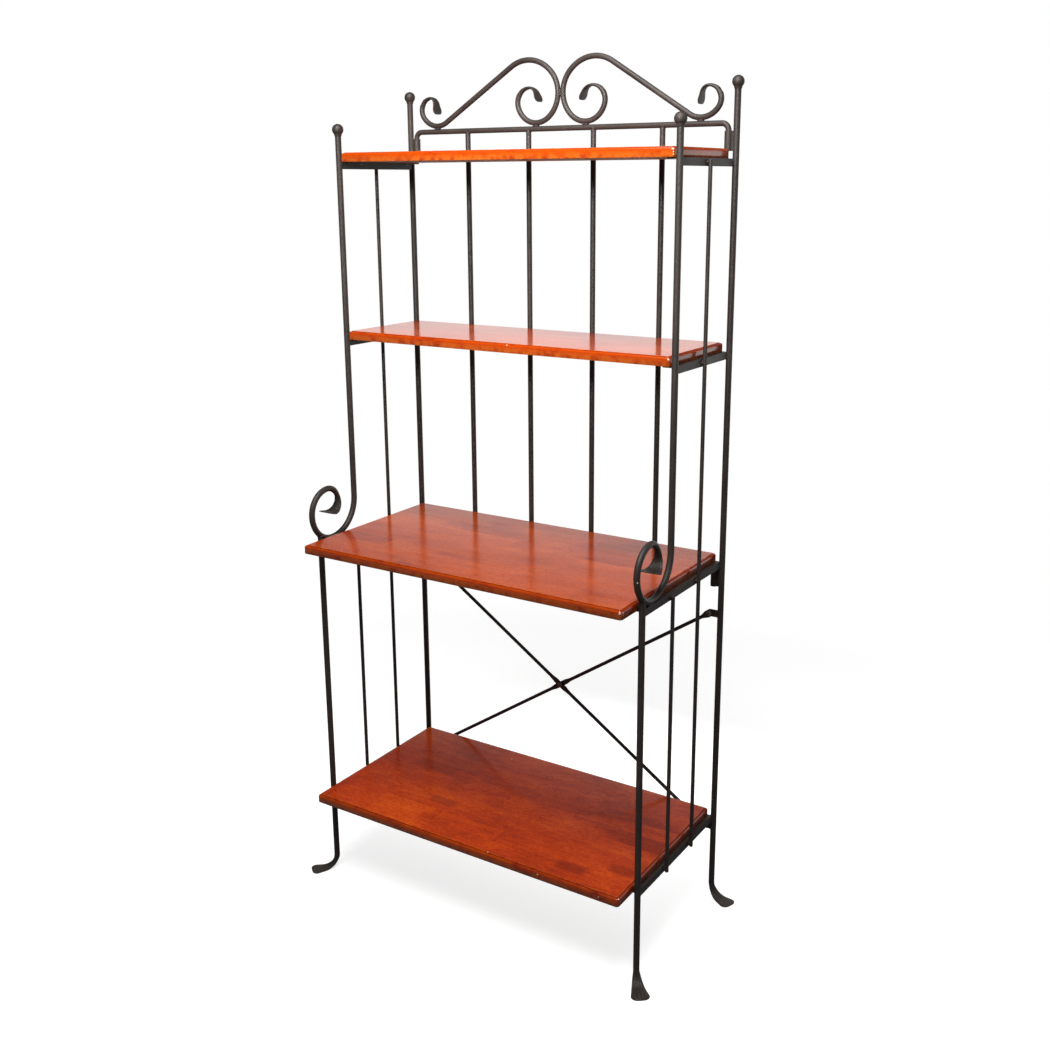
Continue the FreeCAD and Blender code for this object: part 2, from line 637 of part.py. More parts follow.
# ---------------------------------------------------------------- cross brace
def brace_bar(y):
    """Bar from the lower left to the upper right, pressed flat at both ends and in the middle."""
    path = PlanePath(Vector(0, 0, 0), ACROSS, UP, (-BRACE_REACH, 0.0), 0.0)
    path.line(2 * BRACE_REACH)
    eye_reach = BRACE_EYE_D / 2
    flat_starts = (0.0, BRACE_REACH - BRACE_FLAT_L / 2, 2 * BRACE_REACH - eye_reach)
    flat_ends = (eye_reach, BRACE_REACH + BRACE_FLAT_L / 2, 2 * BRACE_REACH)
    widths = (BRACE_EYE_D, BRACE_FLAT_W, BRACE_EYE_D)
    pieces = []
    for start, end, width in zip(flat_starts, flat_ends, widths):
        corner = Vector(start - BRACE_REACH, -BRACE_FLAT_T / 2, -width / 2)
        pieces.append(Part.makeBox(end - start, BRACE_FLAT_T, width, corner))
    for i in range(2):
        first, last = flat_ends[i], flat_starts[i + 1]
        round_start = Vector(first + BRACE_TAPER - BRACE_REACH, 0, 0)
        pieces.append(cylinder(BRACE_D, last - first - 2 * BRACE_TAPER, round_start, ACROSS))
        pieces.append(brace_taper(path, first + BRACE_TAPER, first, widths[i]))
        pieces.append(brace_taper(path, last - BRACE_TAPER, last, widths[i + 1]))
    for x in (-BRACE_REACH, BRACE_REACH):
        centre = Vector(x, -BRACE_FLAT_T / 2, 0)
        pieces.append(cylinder(BRACE_EYE_D, BRACE_FLAT_T, centre, BACK))
    bar = pieces[0].multiFuse(pieces[1:])
    for x in (-BRACE_REACH, 0.0, BRACE_REACH):
        centre = Vector(x, -BRACE_FLAT_T, 0)
        bar = bar.cut(cylinder(BOLT_D + 2 * BOLT_CLEARANCE, 2 * BRACE_FLAT_T, centre, BACK))
    bar.rotate(Vector(), BACK, -BRACE_SLOPE)
    bar.translate(Vector(0, y, BRACE_MIDDLE_Z))
    return largest(bar)


def brace_taper(path, round_at, flat_at, flat_w):
    """Where the round bar goes over into a flat."""
    start_d = BRACE_D - 2 * FORGE_SKIN
    end_w = flat_w - 2 * FORGE_SKIN
    end_t = BRACE_FLAT_T - 2 * FORGE_SKIN
    sections = []
    for i in range(TAPER_STATIONS + 1):
        share = i / TAPER_STATIONS
        height = start_d + (end_w - start_d) * share
        depth = start_d + (end_t - start_d) * math.sin(share * math.pi / 2)
        distance = round_at + (flat_at - round_at) * share
        squareness = 2 + (TAPER_SQUARENESS - 2) * share
        sections.append(blade_outline(path, distance, depth, height, squareness, (0.0, 0.0)))
    return Part.makeLoft(sections, True, False)


def brace_lug(x, y, z):
    """Plate on the inner side of a rear post, drilled for the bolt of one brace end."""
    side = math.copysign(1, x)
    front = Vector(x, y - LUG_T / 2, z)
    reach = HALF - abs(x)
    corner = front - Vector(reach if side < 0 else 0, 0, LUG_D / 2)
    plate = Part.makeBox(reach, LUG_T, LUG_D, corner)
    lug = plate.fuse(cylinder(LUG_D, LUG_T, front, BACK)).removeSplitter()
    hole = cylinder(BOLT_D + 2 * BOLT_CLEARANCE, LUG_T, front, BACK)
    post = cylinder(POST_D, 2 * LUG_D, Vector(side * HALF, REAR_Y, z - LUG_D))
    return largest(lug.cut(hole).cut(post))


def brace_joints():
    """Every bolted place of the brace: middle of the front face of its stack of two flats."""
    rising_y = REAR_Y - BRACE_FLAT_T / 2
    falling_y = rising_y - BRACE_FLAT_T
    return {
        "right_upper": Vector(BRACE_HALF_SPAN, rising_y, BRACE_TOP_Z),
        "left_lower": Vector(-BRACE_HALF_SPAN, rising_y, BRACE_BOTTOM_Z),
        "left_upper": Vector(-BRACE_HALF_SPAN, falling_y, BRACE_TOP_Z),
        "right_lower": Vector(BRACE_HALF_SPAN, falling_y, BRACE_BOTTOM_Z),
        "middle": Vector(0, falling_y, BRACE_MIDDLE_Z),
    }


def brace_bolt(place):
    """Round-headed socket bolt, head to the front."""
    head = cylinder(BOLT_HEAD_D, BOLT_HEAD_H, place, -BACK)
    front_rim = [edge for edge in head.Edges if edge.Closed
                 and edge.BoundBox.YMax < place.y - BOLT_HEAD_H + NEAR]
    head = head.makeFillet(BOLT_HEAD_R, front_rim)
    socket = hexagon(SOCKET_WIDTH, SOCKET_DEPTH, place - BACK * BOLT_HEAD_H, BACK)
    shank = cylinder(BOLT_D, BRACE_STACK + NUT_T + BOLT_TAIL, place, BACK)
    return largest(head.cut(socket).fuse(shank))


def brace_nut(place):
    base = place + BACK * BRACE_STACK
    nut = hexagon(NUT_WIDTH, NUT_T, base, BACK)
    return largest(nut.cut(cylinder(BOLT_D + 2 * THREAD_CLEARANCE, NUT_T, base, BACK)))


# ---------------------------------------------------------------- the rack
PARTS = {}


def keep_pair(name, shape):
    """A right-hand piece and its mirror image on the left."""
    PARTS["right_" + name] = shape
    PARTS["left_" + name] = mirrored(shape)


def build_side_frames():
    post = rear_post()
    scroll = front_scroll_post()
    leg = front_leg(scroll)
    keep_pair("rear_post", post)
    keep_pair("front_scroll_post", scroll)
    keep_pair("front_leg", leg)
    keep_pair("rear_finial", finial(REAR_Y, REAR_BALL_Z))
    keep_pair("front_finial", finial(FRONT_POST_Y, FRONT_BALL_Z))
    rails = {level: rail(level, [post, scroll, leg]) for level in BOARD_TOPS}
    for level, shape in rails.items():
        keep_pair(level + "_rail", shape)
    long_top = BOARD_TOPS["top"] - BOARD_T - LONG_SPINDLE_TOP_DROP
    keep_pair("long_spindle", spindle(LONG_SPINDLE_SETBACK, long_top, rails))
    short_top = WORK_RAIL_TOP - SHORT_SPINDLE_TOP_DROP
    keep_pair("short_spindle", spindle(SHORT_SPINDLE_SETBACK, short_top, rails))
    keep_pair("scroll_weld", scroll_weld(scroll))
    keep_pair("upper_sleeve", sleeve(UPPER_SLEEVE_TOP))
    keep_pair("lower_sleeve", sleeve(LOWER_SLEEVE_TOP))


def build_boards():
    for level in BOARD_TOPS:
        depth = LOWER_BOARD_DEPTH if level in ("bottom", "work") else UPPER_BOARD_DEPTH
        PARTS[level + "_board"] = board(level, depth)
        PARTS[level + "_board_screws"] = board_screws(level)


def build_back_panel():
    hoop = panel_cross_bar(HOOP_Z)
    lower_bar = panel_cross_bar(LOWER_BAR_Z)
    crest = crest_scroll()
    PARTS["panel_hoop"] = hoop
    PARTS["panel_lower_bar"] = lower_bar
    for i in range(BAR_COUNT):
        x = (i - (BAR_COUNT - 1) / 2) * BAR_SPACING
        PARTS["panel_bar_%d" % (i + 1)] = panel_bar(x, hoop, lower_bar)
    PARTS["right_crest_scroll"] = crest
    PARTS["left_crest_scroll"] = mirrored(crest)
    PARTS["crest_welds"] = crest_welds(crest, hoop)


def build_cross_brace():
    joints = brace_joints()
    half_flat = BACK * (BRACE_FLAT_T / 2)
    PARTS["rising_brace_bar"] = brace_bar((joints["right_upper"] + half_flat).y)
    PARTS["falling_brace_bar"] = mirrored(brace_bar((joints["left_upper"] + half_flat).y))
    for name, place in joints.items():
        if name != "middle":
            lug_y = place.y + BRACE_FLAT_T + LUG_T / 2
            PARTS[name + "_brace_lug"] = brace_lug(place.x, lug_y, place.z)
    PARTS["brace_bolts"] = Part.makeCompound([brace_bolt(place) for place in joints.values()])
    PARTS["brace_nuts"] = Part.makeCompound([brace_nut(place) for place in joints.values()])


def main():
    build_side_frames()
    build_boards()
    build_back_panel()
    build_cross_brace()
    os.makedirs("parts", exist_ok=True)
    for name, shape in sorted(PARTS.items()):
        shape.exportStep("parts/%s.step" % name)
        box = shape.BoundBox
        print("%-26s %2d solids, valid %s, %9.0f mm3, z %.1f to %.1f" % (
            name, len(shape.Solids), shape.isValid(), shape.Volume, box.ZMin, box.ZMax))


main()
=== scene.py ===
import math
import random

import bmesh
import bpy
from mathutils import Matrix, Vector


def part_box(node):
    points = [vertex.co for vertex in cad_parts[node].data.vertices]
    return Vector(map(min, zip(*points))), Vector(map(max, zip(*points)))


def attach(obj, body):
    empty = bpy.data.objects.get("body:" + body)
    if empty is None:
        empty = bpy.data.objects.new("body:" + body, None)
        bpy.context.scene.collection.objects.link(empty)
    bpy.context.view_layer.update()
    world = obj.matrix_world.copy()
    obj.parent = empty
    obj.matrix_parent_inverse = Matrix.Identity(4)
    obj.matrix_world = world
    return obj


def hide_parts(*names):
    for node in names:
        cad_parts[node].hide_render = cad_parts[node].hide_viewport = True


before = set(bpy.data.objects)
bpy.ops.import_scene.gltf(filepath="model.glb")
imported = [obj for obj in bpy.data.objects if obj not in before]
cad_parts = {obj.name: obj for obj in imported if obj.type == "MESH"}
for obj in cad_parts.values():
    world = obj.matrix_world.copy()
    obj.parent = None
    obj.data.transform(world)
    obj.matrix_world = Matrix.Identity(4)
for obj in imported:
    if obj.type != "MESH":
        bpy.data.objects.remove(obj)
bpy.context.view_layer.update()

# Bakers rack, metres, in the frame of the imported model: the finish of its paint and wood,
# its boards with eased edges, its weld beads, and a plain studio round it.

# ---------------------------------------------------------------- camera
PICTURE = 1050                          # pixels, both ways
CAMERA_PLACE = (1.37235, -2.02944, 1.57505)
CAMERA_YAW = 32.2403                    # degrees, from looking along +Y towards -X
CAMERA_PITCH = -14.2151
CAMERA_ROLL = -0.2235
LENS = 40.99                            # millimetres, on a sensor of 36
AXIS_PIXEL = (547.0, 483.4)             # where the lens axis meets the picture


def make_camera():
    yaw, pitch, roll = (math.radians(a) for a in (CAMERA_YAW, CAMERA_PITCH, CAMERA_ROLL))
    level_right = Vector((math.cos(yaw), math.sin(yaw), 0))
    ahead = Vector((-math.sin(yaw), math.cos(yaw), 0))
    forward = ahead * math.cos(pitch) + Vector((0, 0, math.sin(pitch)))
    level_up = level_right.cross(forward)
    right = level_right * math.cos(roll) + level_up * math.sin(roll)
    up = right.cross(forward)
    data = bpy.data.cameras.new("camera")
    data.lens = LENS
    data.shift_x = 0.5 - AXIS_PIXEL[0] / PICTURE
    data.shift_y = AXIS_PIXEL[1] / PICTURE - 0.5
    camera = bpy.data.objects.new("camera", data)
    bpy.context.scene.collection.objects.link(camera)
    turn = Matrix((right, up, -forward)).transposed().to_4x4()
    camera.matrix_world = Matrix.Translation(CAMERA_PLACE) @ turn
    bpy.context.scene.camera = camera


# ---------------------------------------------------------------- a small kit for materials
SPOT_RAGGED = 1.2                       # how far a spot's rim wanders, in radii
SPOT_RIM = (1.0, 0.6)                   # radii at which a spot begins and at which it is full


class Recipe:
    """One node tree. Each call adds a node, and gives back its output."""

    def __init__(self, name):
        self.material = bpy.data.materials.new(name)
        self.material.use_nodes = True
        self.start(self.material.node_tree, "ShaderNodeOutputMaterial")

    @classmethod
    def on_tree(cls, tree, output_kind):
        recipe = cls.__new__(cls)
        recipe.start(tree, output_kind)
        return recipe

    def start(self, tree, output_kind):
        self.tree = tree
        tree.nodes.clear()
        self.output = tree.nodes.new(output_kind)
        self.place = tree.nodes.new("ShaderNodeTexCoord").outputs["Object"]

    def put(self, value, socket):
        """Links an output, or sets a value. Colours are given without their alpha."""
        if isinstance(value, bpy.types.NodeSocket):
            self.tree.links.new(value, socket)
        elif socket.type == "RGBA":
            socket.default_value = (*value, 1.0)
        else:
            socket.default_value = value

    def put_all(self, values, sockets):
        for value, socket in zip(values, sockets):
            self.put(value, socket)

    def node(self, kind, **inputs):
        """Adds a node; inputs go by their sockets' names, in small letters with underscores."""
        node = self.tree.nodes.new(kind)
        sockets = {s.name.lower().replace(" ", "_"): s for s in node.inputs}
        for name, value in inputs.items():
            self.put(value, sockets[name])
        return node

    def math(self, operation, *values):
        node = self.tree.nodes.new("ShaderNodeMath")
        node.operation = operation
        self.put_all(values, node.inputs)
        return node.outputs[0]

    def gap(self, first, second):
        """How far apart two values are."""
        return self.math("ABSOLUTE", self.math("SUBTRACT", first, second))

    def vector(self, operation, *values):
        node = self.tree.nodes.new("ShaderNodeVectorMath")
        node.operation = operation
        self.put_all(values, node.inputs)
        return node.outputs["Value" if operation in ("LENGTH", "DISTANCE") else "Vector"]

    def split(self, vector):
        return tuple(self.node("ShaderNodeSeparateXYZ", vector=vector).outputs)

    def join(self, x, y, z):
        return self.node("ShaderNodeCombineXYZ", x=x, y=y, z=z).outputs[0]

    def noise(self, place, scale, detail=2.0, roughness=0.5, warp=0.0):
        return self.node("ShaderNodeTexNoise", vector=place, scale=scale, detail=detail,
                         roughness=roughness, distortion=warp).outputs["Fac"]

    def luck(self, x, y, z):
        """A fixed random value from 0 to 1 for each combination of three whole numbers."""
        return self.node("ShaderNodeTexWhiteNoise", vector=self.join(x, y, z)).outputs["Value"]

    def painted(self, name):
        """A value that the mesh holds at its vertices."""
        node = self.tree.nodes.new("ShaderNodeAttribute")
        node.attribute_name = name
        return node.outputs["Fac"]

    def rise(self, value, low, high, to_low=0.0, to_high=1.0):
        """Smooth step of a value, from low to high."""
        node = self.tree.nodes.new("ShaderNodeMapRange")
        node.interpolation_type = "SMOOTHSTEP"
        self.put_all((value, low, high, to_low, to_high), node.inputs)
        return node.outputs[0]

    def ramp(self, value, *stops):
        node = self.tree.nodes.new("ShaderNodeValToRGB")
        self.put(value, node.inputs[0])
        elements = node.color_ramp.elements
        while len(elements) < len(stops):
            elements.new(1.0)
        for element, (at, colour) in zip(elements, stops):
            element.position = at
            element.color = (*colour, 1.0)
        return node.outputs[0]

    def mix(self, share, first, second):
        node = self.tree.nodes.new("ShaderNodeMix")
        node.data_type = "RGBA"
        self.put_all((share, first, second), [s for s in node.inputs if s.enabled])
        return [s for s in node.outputs if s.enabled][0]

    def glaze(self, under, over, where, strength):
        """A colour laid over another where a value says, at a given strength."""
        return self.mix(self.math("MULTIPLY", where, strength), under, over)

    def bump(self, height, depth, strength):
        return self.node("ShaderNodeBump", height=height, distance=depth, strength=strength).outputs[0]

    def near(self, spots, scale):
        """1 on small ragged spots, given as (x, y, z, radius), and 0 elsewhere."""
        noise = self.noise(self.place, scale)
        wobble = self.math("MULTIPLY_ADD", noise, SPOT_RAGGED, -SPOT_RAGGED / 2)
        total = 0.0
        for x, y, z, radius in spots:
            distance = self.vector("DISTANCE", self.place, (x, y, z))
            share = self.math("MULTIPLY_ADD", distance, 1 / radius, wobble)
            total = self.math("MAXIMUM", total, self.rise(share, *SPOT_RIM))
        return total

    def show(self, shader):
        self.tree.links.new(shader.outputs[0], self.output.inputs[0])

    def surface(self, **inputs):
        self.show(self.node("ShaderNodeBsdfPrincipled", **inputs))
        return self.material


# ---------------------------------------------------------------- paint and steel
PAINT_DARK = (0.025, 0.0190, 0.0165)
PAINT_LIGHT = (0.036, 0.0275, 0.0230)
PAINT_TONES = (0.36, 0.64)              # noise at which the paint is dark, and light
PAINT_RUBBED = (0.080, 0.052, 0.034)
RUBBED_PLACES = (0.56, 0.74)            # noise at which rubbing begins, and is full
RUBBED_SHARE = 0.25
PAINT_ROUGHNESS = (0.47, 0.54)
CLOUD_SCALE = 14.0                      # noise, in features per metre
DUST_SCALE = 700.0
DUST_SHARE = 0.14                       # of the tone; the clouds make the rest
RUBBED_SCALE = 45.0
PEEL_SCALE = 170.0
PEEL_DEPTH = 0.00006
PEEL_STRENGTH = 0.10
BARE_SPECK = (0.80, 0.76, 0.70)
PAINT_NICK_SCALE = 900.0
PAINT_NICKS = (                         # x, y, z, radius
    (0.4040, -0.1850, 0.8600, 0.0020),
    (0.4035, -0.0240, 0.7850, 0.0018),
)

STEEL_DARK = (0.085, 0.076, 0.068)
STEEL_LIGHT = (0.26, 0.22, 0.185)
STEEL_TONES = (0.35, 0.62)
STEEL_ROUGHNESS = (0.30, 0.48)
STEEL_SCALE = 240.0
STEEL_DEPTH = 0.0002
STEEL_STRENGTH = 0.4
ROUGHNESS_TONES = (0.3, 0.7)            # noise at which a metal is smoothest, and roughest


def bronze_paint():
    """Satin dark bronze on hot-rolled bar: orange peel, dust and rubbed places."""
    m = Recipe("dark_bronze_paint")
    cloud = m.noise(m.place, CLOUD_SCALE, detail=3.0)
    dust = m.noise(m.place, DUST_SCALE, roughness=0.6)
    tone = m.math("MULTIPLY_ADD", cloud, 1.0 - DUST_SHARE, m.math("MULTIPLY", dust, DUST_SHARE))
    colour = m.ramp(tone, (PAINT_TONES[0], PAINT_DARK), (PAINT_TONES[1], PAINT_LIGHT))
    lightened = m.rise(m.noise(m.place, RUBBED_SCALE, detail=3.0), *RUBBED_PLACES)
    colour = m.glaze(colour, PAINT_RUBBED, lightened, RUBBED_SHARE)
    colour = m.mix(m.near(PAINT_NICKS, PAINT_NICK_SCALE), colour, BARE_SPECK)
    peel = m.bump(m.noise(m.place, PEEL_SCALE), PEEL_DEPTH, PEEL_STRENGTH)
    roughness = m.rise(cloud, *ROUGHNESS_TONES, *PAINT_ROUGHNESS)
    return m.surface(base_color=colour, roughness=roughness, specular_ior_level=0.36, normal=peel)


def blackened_steel():
    """Oiled black screws, bolts and nuts, browned where fingers and tools touch them."""
    m = Recipe("blackened_steel")
    wear = m.noise(m.place, STEEL_SCALE, detail=3.0, roughness=0.6)
    colour = m.ramp(wear, (STEEL_TONES[0], STEEL_DARK), (STEEL_TONES[1], STEEL_LIGHT))
    roughness = m.rise(wear, *ROUGHNESS_TONES, *STEEL_ROUGHNESS)
    return m.surface(base_color=colour, roughness=roughness, metallic=0.75,
                     normal=m.bump(wear, STEEL_DEPTH, STEEL_STRENGTH))


# ---------------------------------------------------------------- stained wood
LEVELS = ("bottom", "work", "middle", "top")
STAVE_W = 0.046
BLOCK_L = 0.235                         # of the finger-jointed blocks, on average
BLOCK_SWAY = 0.32                       # how unequal they are, in blocks
BLOCK_SWAY_RATE = 2.1                   # radians of the sway in each block
BLOCK_SHOVE = 6.3                       # how far one row is shifted from the next, in blocks
BLOCK_SHIFT = 3.1                       # metres along the noise from one block to another

# Noise along the grain: features per metre along and across it, detail, roughness, warp.
GRAIN = {
    "cloud": (4.0, 8.0, 3.0, 0.5, 0.4),
    "blotch": (18.0, 40.0, 3.0, 0.6, 1.2),
    "figure": (9.0, 90.0, 4.0, 0.6, 0.6),
    "fleck": (130.0, 420.0, 2.0, 0.7, 0.0),
    "pores": (150.0, 2200.0, 1.0, 0.5, 0.0),
    "worn_zone": (3.0, 6.0, 1.0, 0.5, 0.0),
    "patch": (14.0, 14.0, 3.0, 0.65, 0.0),
    "streak": (60.0, 700.0, 3.0, 0.7, 0.0),
    "wave": (9.0, 28.0, 1.0, 0.5, 0.0),
    "washed_figure": (6.0, 80.0, 4.0, 0.6, 0.8),
}
BOARD_LAYERS = ("cloud", "blotch", "worn_zone", "patch", "streak")
BLOCK_LAYERS = ("figure", "fleck", "pores")

STAIN_DEEP = (0.250, 0.021, 0.004)
STAIN_DARK = (0.150, 0.012, 0.004)
# Darkest stain, pooled in pores and edge patches; in the gutter below the shoulder it is also painted
# shade.
STAIN_POOL_AND_SHADE = (0.085, 0.008, 0.003)
# The stain's middle and light tones: redder on the bottom board than on the three above.
LOWER_STAIN = ((0.450, 0.041, 0.0035), (0.600, 0.078, 0.0030))
UPPER_STAIN = ((0.440, 0.060, 0.0070), (0.640, 0.105, 0.0100))
TONE_SHARES = {"cloud": 0.42, "blotch": 0.16, "figure": 0.18, "fleck": 0.22}
BLOCK_TONE = 0.05                       # how much a block's own luck adds to its tone
ODD_BLOCKS = (0.86, 0.90)               # luck above which a block is a darker one
ODD_BLOCK_TONE = -0.12
WORN_ZONES = (0.50, 0.62)               # noise within which such blocks occur
MIDDLE_TONE = 0.515
STAIN_SPREAD = {"bottom": 0.125, "work": 0.20, "middle": 0.17, "top": 0.14}
DARK_FLECKS = (0.50, 0.30)              # noise at which a fleck begins, and is full
DARK_FLECK_SHARE = 0.35
PORES = (0.44, 0.33)                    # the same, of the pores
PORE_SHARE = 0.50

EDGE_RED = (0.270, 0.020, 0.0015)
EDGE_ORANGE = (0.365, 0.040, 0.0008)
# Painted highlight on the eased arrises, with stain worn through there.
EDGE_GLEAM_AND_WEAR = (0.640, 0.140, 0.010)
EDGE_TONES = (0.34, 0.42, 0.54)         # of pooled, red and orange stain
# Painted shade: per board, how far its edge stain is shifted darker; the three lower boards darker,
# the top lighter.
EDGE_SHADE_BY_BOARD = {"bottom": 0.02, "work": 0.03, "middle": 0.01, "top": -0.02}
EDGE_PATCHES = {"bottom": 0.80, "work": 0.40, "middle": 0.30, "top": 0.30}
EDGE_BLOCK_TONE = 0.08
EDGE_BAND = (0.0062, 0.0050)            # from the board's outline, where the edge's stain sets in
END_BAND = (0.0045, 0.0010)             # from the board's end, where the ends darken: end grain drinks more stain, and painted shade on the lower boards
# How much darker each board's ends are: end grain drinks more stain, and painted shade on the three
# lower boards; none on the top.
END_STAIN_AND_SHADE = {"bottom": 0.7, "work": 0.7, "middle": 0.6, "top": 0.0}
# Painted shade in the gutter below the shoulder, with stain pooled there.
GUTTER_SHARE = 0.9
# Painted highlight along the eased arrises, with stain worn through in places.
ARRIS_GLEAM_AND_WEAR_SCALE = 70.0
ARRIS_GLEAM_AND_WEAR_PLACES = (0.30, 0.62)
ARRIS_GLEAM_AND_WEAR_SHARE = 0.75

FLECK_HEIGHT = 0.3                      # of the relief; the pores make the rest
GRAIN_DEPTH = 0.00012
GRAIN_STRENGTH = 0.5
COAT_WAVE_DEPTH = 0.0006
COAT_WAVE_STRENGTH = 0.35

WASHED_WOOD = (0.50, 0.24, 0.075)
WASHED_STREAK = (0.36, 0.150, 0.042)
WASHED_TONES = (0.36, 0.62)
WASHED_BLOCK_TONE = 0.25
WASHED_PORE_SHARE = 0.4

# Places where the finish is knocked off (x, y, z, radius).
RAW_WOOD = (0.78, 0.60, 0.45)
WOOD_NICK_SCALE = 700.0
WOOD_NICKS = {
    "bottom": ((0.0785, -0.2150, 0.2200, 0.0015), (0.2050, -0.2205, 0.2130, 0.0020),
               (0.3470, -0.2205, 0.2105, 0.0015), (0.3900, -0.2160, 0.2180, 0.0022),
               (-0.1090, 0.1549, 0.2200, 0.0013)),
    "work": ((0.3870, -0.2200, 0.8090, 0.0028), (0.3905, -0.2150, 0.8090, 0.0018),
             (0.3905, -0.2140, 0.8040, 0.0016)),
    "middle": ((0.0276, -0.0462, 1.2555, 0.0016), (0.3890, -0.0465, 1.2530, 0.0022)),
    "top": ((0.3895, -0.0460, 1.6290, 0.0022), (0.3895, -0.0460, 1.6240, 0.0016),
            (0.3895, -0.0460, 1.6200, 0.0015)),
}
# Pale knots (x, y, z, radius).
KNOT_SCALE = 150.0
KNOT_SHARE = 0.6
KNOTS = {
    "bottom": ((-0.2069, -0.0677, 0.2200, 0.0050), (-0.0337, -0.0928, 0.2200, 0.0065),
               (0.2060, 0.0550, 0.2200, 0.0040)),
    "work": (), "middle": (), "top": (),
}
# Darker staves (middle x, middle y, half length, half width, strength).
STAVE_RIM = (1.25, 0.75)                # share of its half size where one begins, and is full
STAVE_FLECKS = (0.25, 0.75, 0.35, 0.75)
DARK_STAVES = {
    "bottom": ((-0.126, -0.093, 0.034, 0.013, 0.7), (-0.095, -0.171, 0.036, 0.016, 0.35),
               (0.255, -0.173, 0.033, 0.015, 1.0), (0.349, -0.130, 0.028, 0.014, 0.8),
               (-0.240, 0.030, 0.060, 0.020, 0.7)),
    "work": ((-0.050, -0.110, 0.060, 0.012, 0.40), (0.110, -0.060, 0.050, 0.010, 0.25)),
    "middle": (), "top": (),
}


def along_grain(m, place, layer):
    """Noise drawn out along X."""
    along, across, detail, roughness, warp = GRAIN[layer]
    drawn_out = m.vector("MULTIPLY", place, (along, across, across))
    return m.noise(drawn_out, 1.0, detail, roughness, warp)


def wood_layers(m, board_low, seed):
    """Each layer of noise that a board's top shows, and the luck of its blocks."""
    x, y, _ = m.split(m.place)
    row = m.math("FLOOR", m.math("MULTIPLY_ADD", y, 1 / STAVE_W, -board_low.y / STAVE_W))
    shove = m.math("MULTIPLY", m.luck(row, seed, 3.0), BLOCK_SHOVE)
    along = m.math("MULTIPLY_ADD", x, 1 / BLOCK_L, shove)
    sway = m.math("SINE", m.math("MULTIPLY", along, BLOCK_SWAY_RATE))
    block = m.math("FLOOR", m.math("MULTIPLY_ADD", sway, BLOCK_SWAY, along))
    luck = m.luck(row, block, seed)
    board_place = m.vector("ADD", m.place, (seed, 2.0 * seed, 0.0))
    shift = m.join(m.math("MULTIPLY", luck, BLOCK_SHIFT), 0.0, 0.0)
    block_place = m.vector("ADD", board_place, shift)
    layers = {"luck": luck}
    for name in BOARD_LAYERS:
        layers[name] = along_grain(m, board_place, name)
    for name in BLOCK_LAYERS:
        layers[name] = along_grain(m, block_place, name)
    return layers


def stained_top(m, level, layers):
    """Clouds of stain over the grain's figure, with a darker block here and there."""
    worn_zone = m.math("MULTIPLY", m.rise(layers["worn_zone"], *WORN_ZONES), ODD_BLOCK_TONE)
    odd_block = m.math("MULTIPLY", m.rise(layers["luck"], *ODD_BLOCKS), worn_zone)
    tone = m.math("MULTIPLY_ADD", layers["luck"], BLOCK_TONE, odd_block)
    for name, share in TONE_SHARES.items():
        tone = m.math("MULTIPLY_ADD", layers[name], share, tone)
    middle, light = LOWER_STAIN if level == "bottom" else UPPER_STAIN
    spread = STAIN_SPREAD[level]
    return m.ramp(tone, (MIDDLE_TONE - spread, STAIN_DEEP), (MIDDLE_TONE, middle),
                  (MIDDLE_TONE + spread, light))


def marked_top(m, level, layers, colour):
    """Darker staves, knots, flecks and pores over the stain."""
    x, y, _ = m.split(m.place)
    shade = 0.0
    for stave_x, stave_y, half_l, half_w, strength in DARK_STAVES[level]:
        far_x = m.math("DIVIDE", m.gap(x, stave_x), half_l)
        far_y = m.math("DIVIDE", m.gap(y, stave_y), half_w)
        inside = m.rise(m.math("MAXIMUM", far_x, far_y), *STAVE_RIM, 0.0, strength)
        shade = m.math("MAXIMUM", shade, inside)
    fleck = layers["fleck"]
    colour = m.mix(m.math("MULTIPLY", shade, m.rise(fleck, *STAVE_FLECKS)), colour, STAIN_DARK)
    colour = m.glaze(colour, EDGE_ORANGE, m.near(KNOTS[level], KNOT_SCALE), KNOT_SHARE)
    colour = m.glaze(colour, STAIN_DARK, m.rise(fleck, *DARK_FLECKS), DARK_FLECK_SHARE)
    return m.glaze(colour, STAIN_POOL_AND_SHADE, m.rise(layers["pores"], *PORES), PORE_SHARE)


def stained_and_shaded_edge(m, level, layers, colour):
    """Patchy stain round the edge, shifted darker per board as painted shade, and deeper on the ends,
    where end grain drinks more stain and the lower boards' ends get painted shade.
    """
    low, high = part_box(level + "_board")
    half = (high - low) / 2
    middle = (high + low) / 2
    x, y, _ = m.split(m.place)
    from_end = m.math("SUBTRACT", half.x, m.gap(x, middle.x))
    from_side = m.math("SUBTRACT", half.y, m.gap(y, middle.y))
    band = m.rise(m.math("MINIMUM", from_end, from_side), *EDGE_BAND)
    share = EDGE_PATCHES[level]
    streak = m.math("MULTIPLY", layers["streak"], 1.0 - share)
    tone = m.math("MULTIPLY_ADD", layers["patch"], share, streak)
    tone = m.math("MULTIPLY_ADD", layers["luck"], EDGE_BLOCK_TONE, tone)
    # Painted shade: each board's edge stain tones are shifted by its own amount.
    pool, red, orange = (stop + EDGE_SHADE_BY_BOARD[level] for stop in EDGE_TONES)
    stain = m.ramp(tone, (pool, STAIN_POOL_AND_SHADE), (red, EDGE_RED), (orange, EDGE_ORANGE))
    colour = m.mix(band, colour, stain)
    # Darker ends: end grain that drinks more stain, and painted shade on the lower boards.
    return m.glaze(colour, STAIN_DEEP, m.rise(from_end, *END_BAND), END_STAIN_AND_SHADE[level])


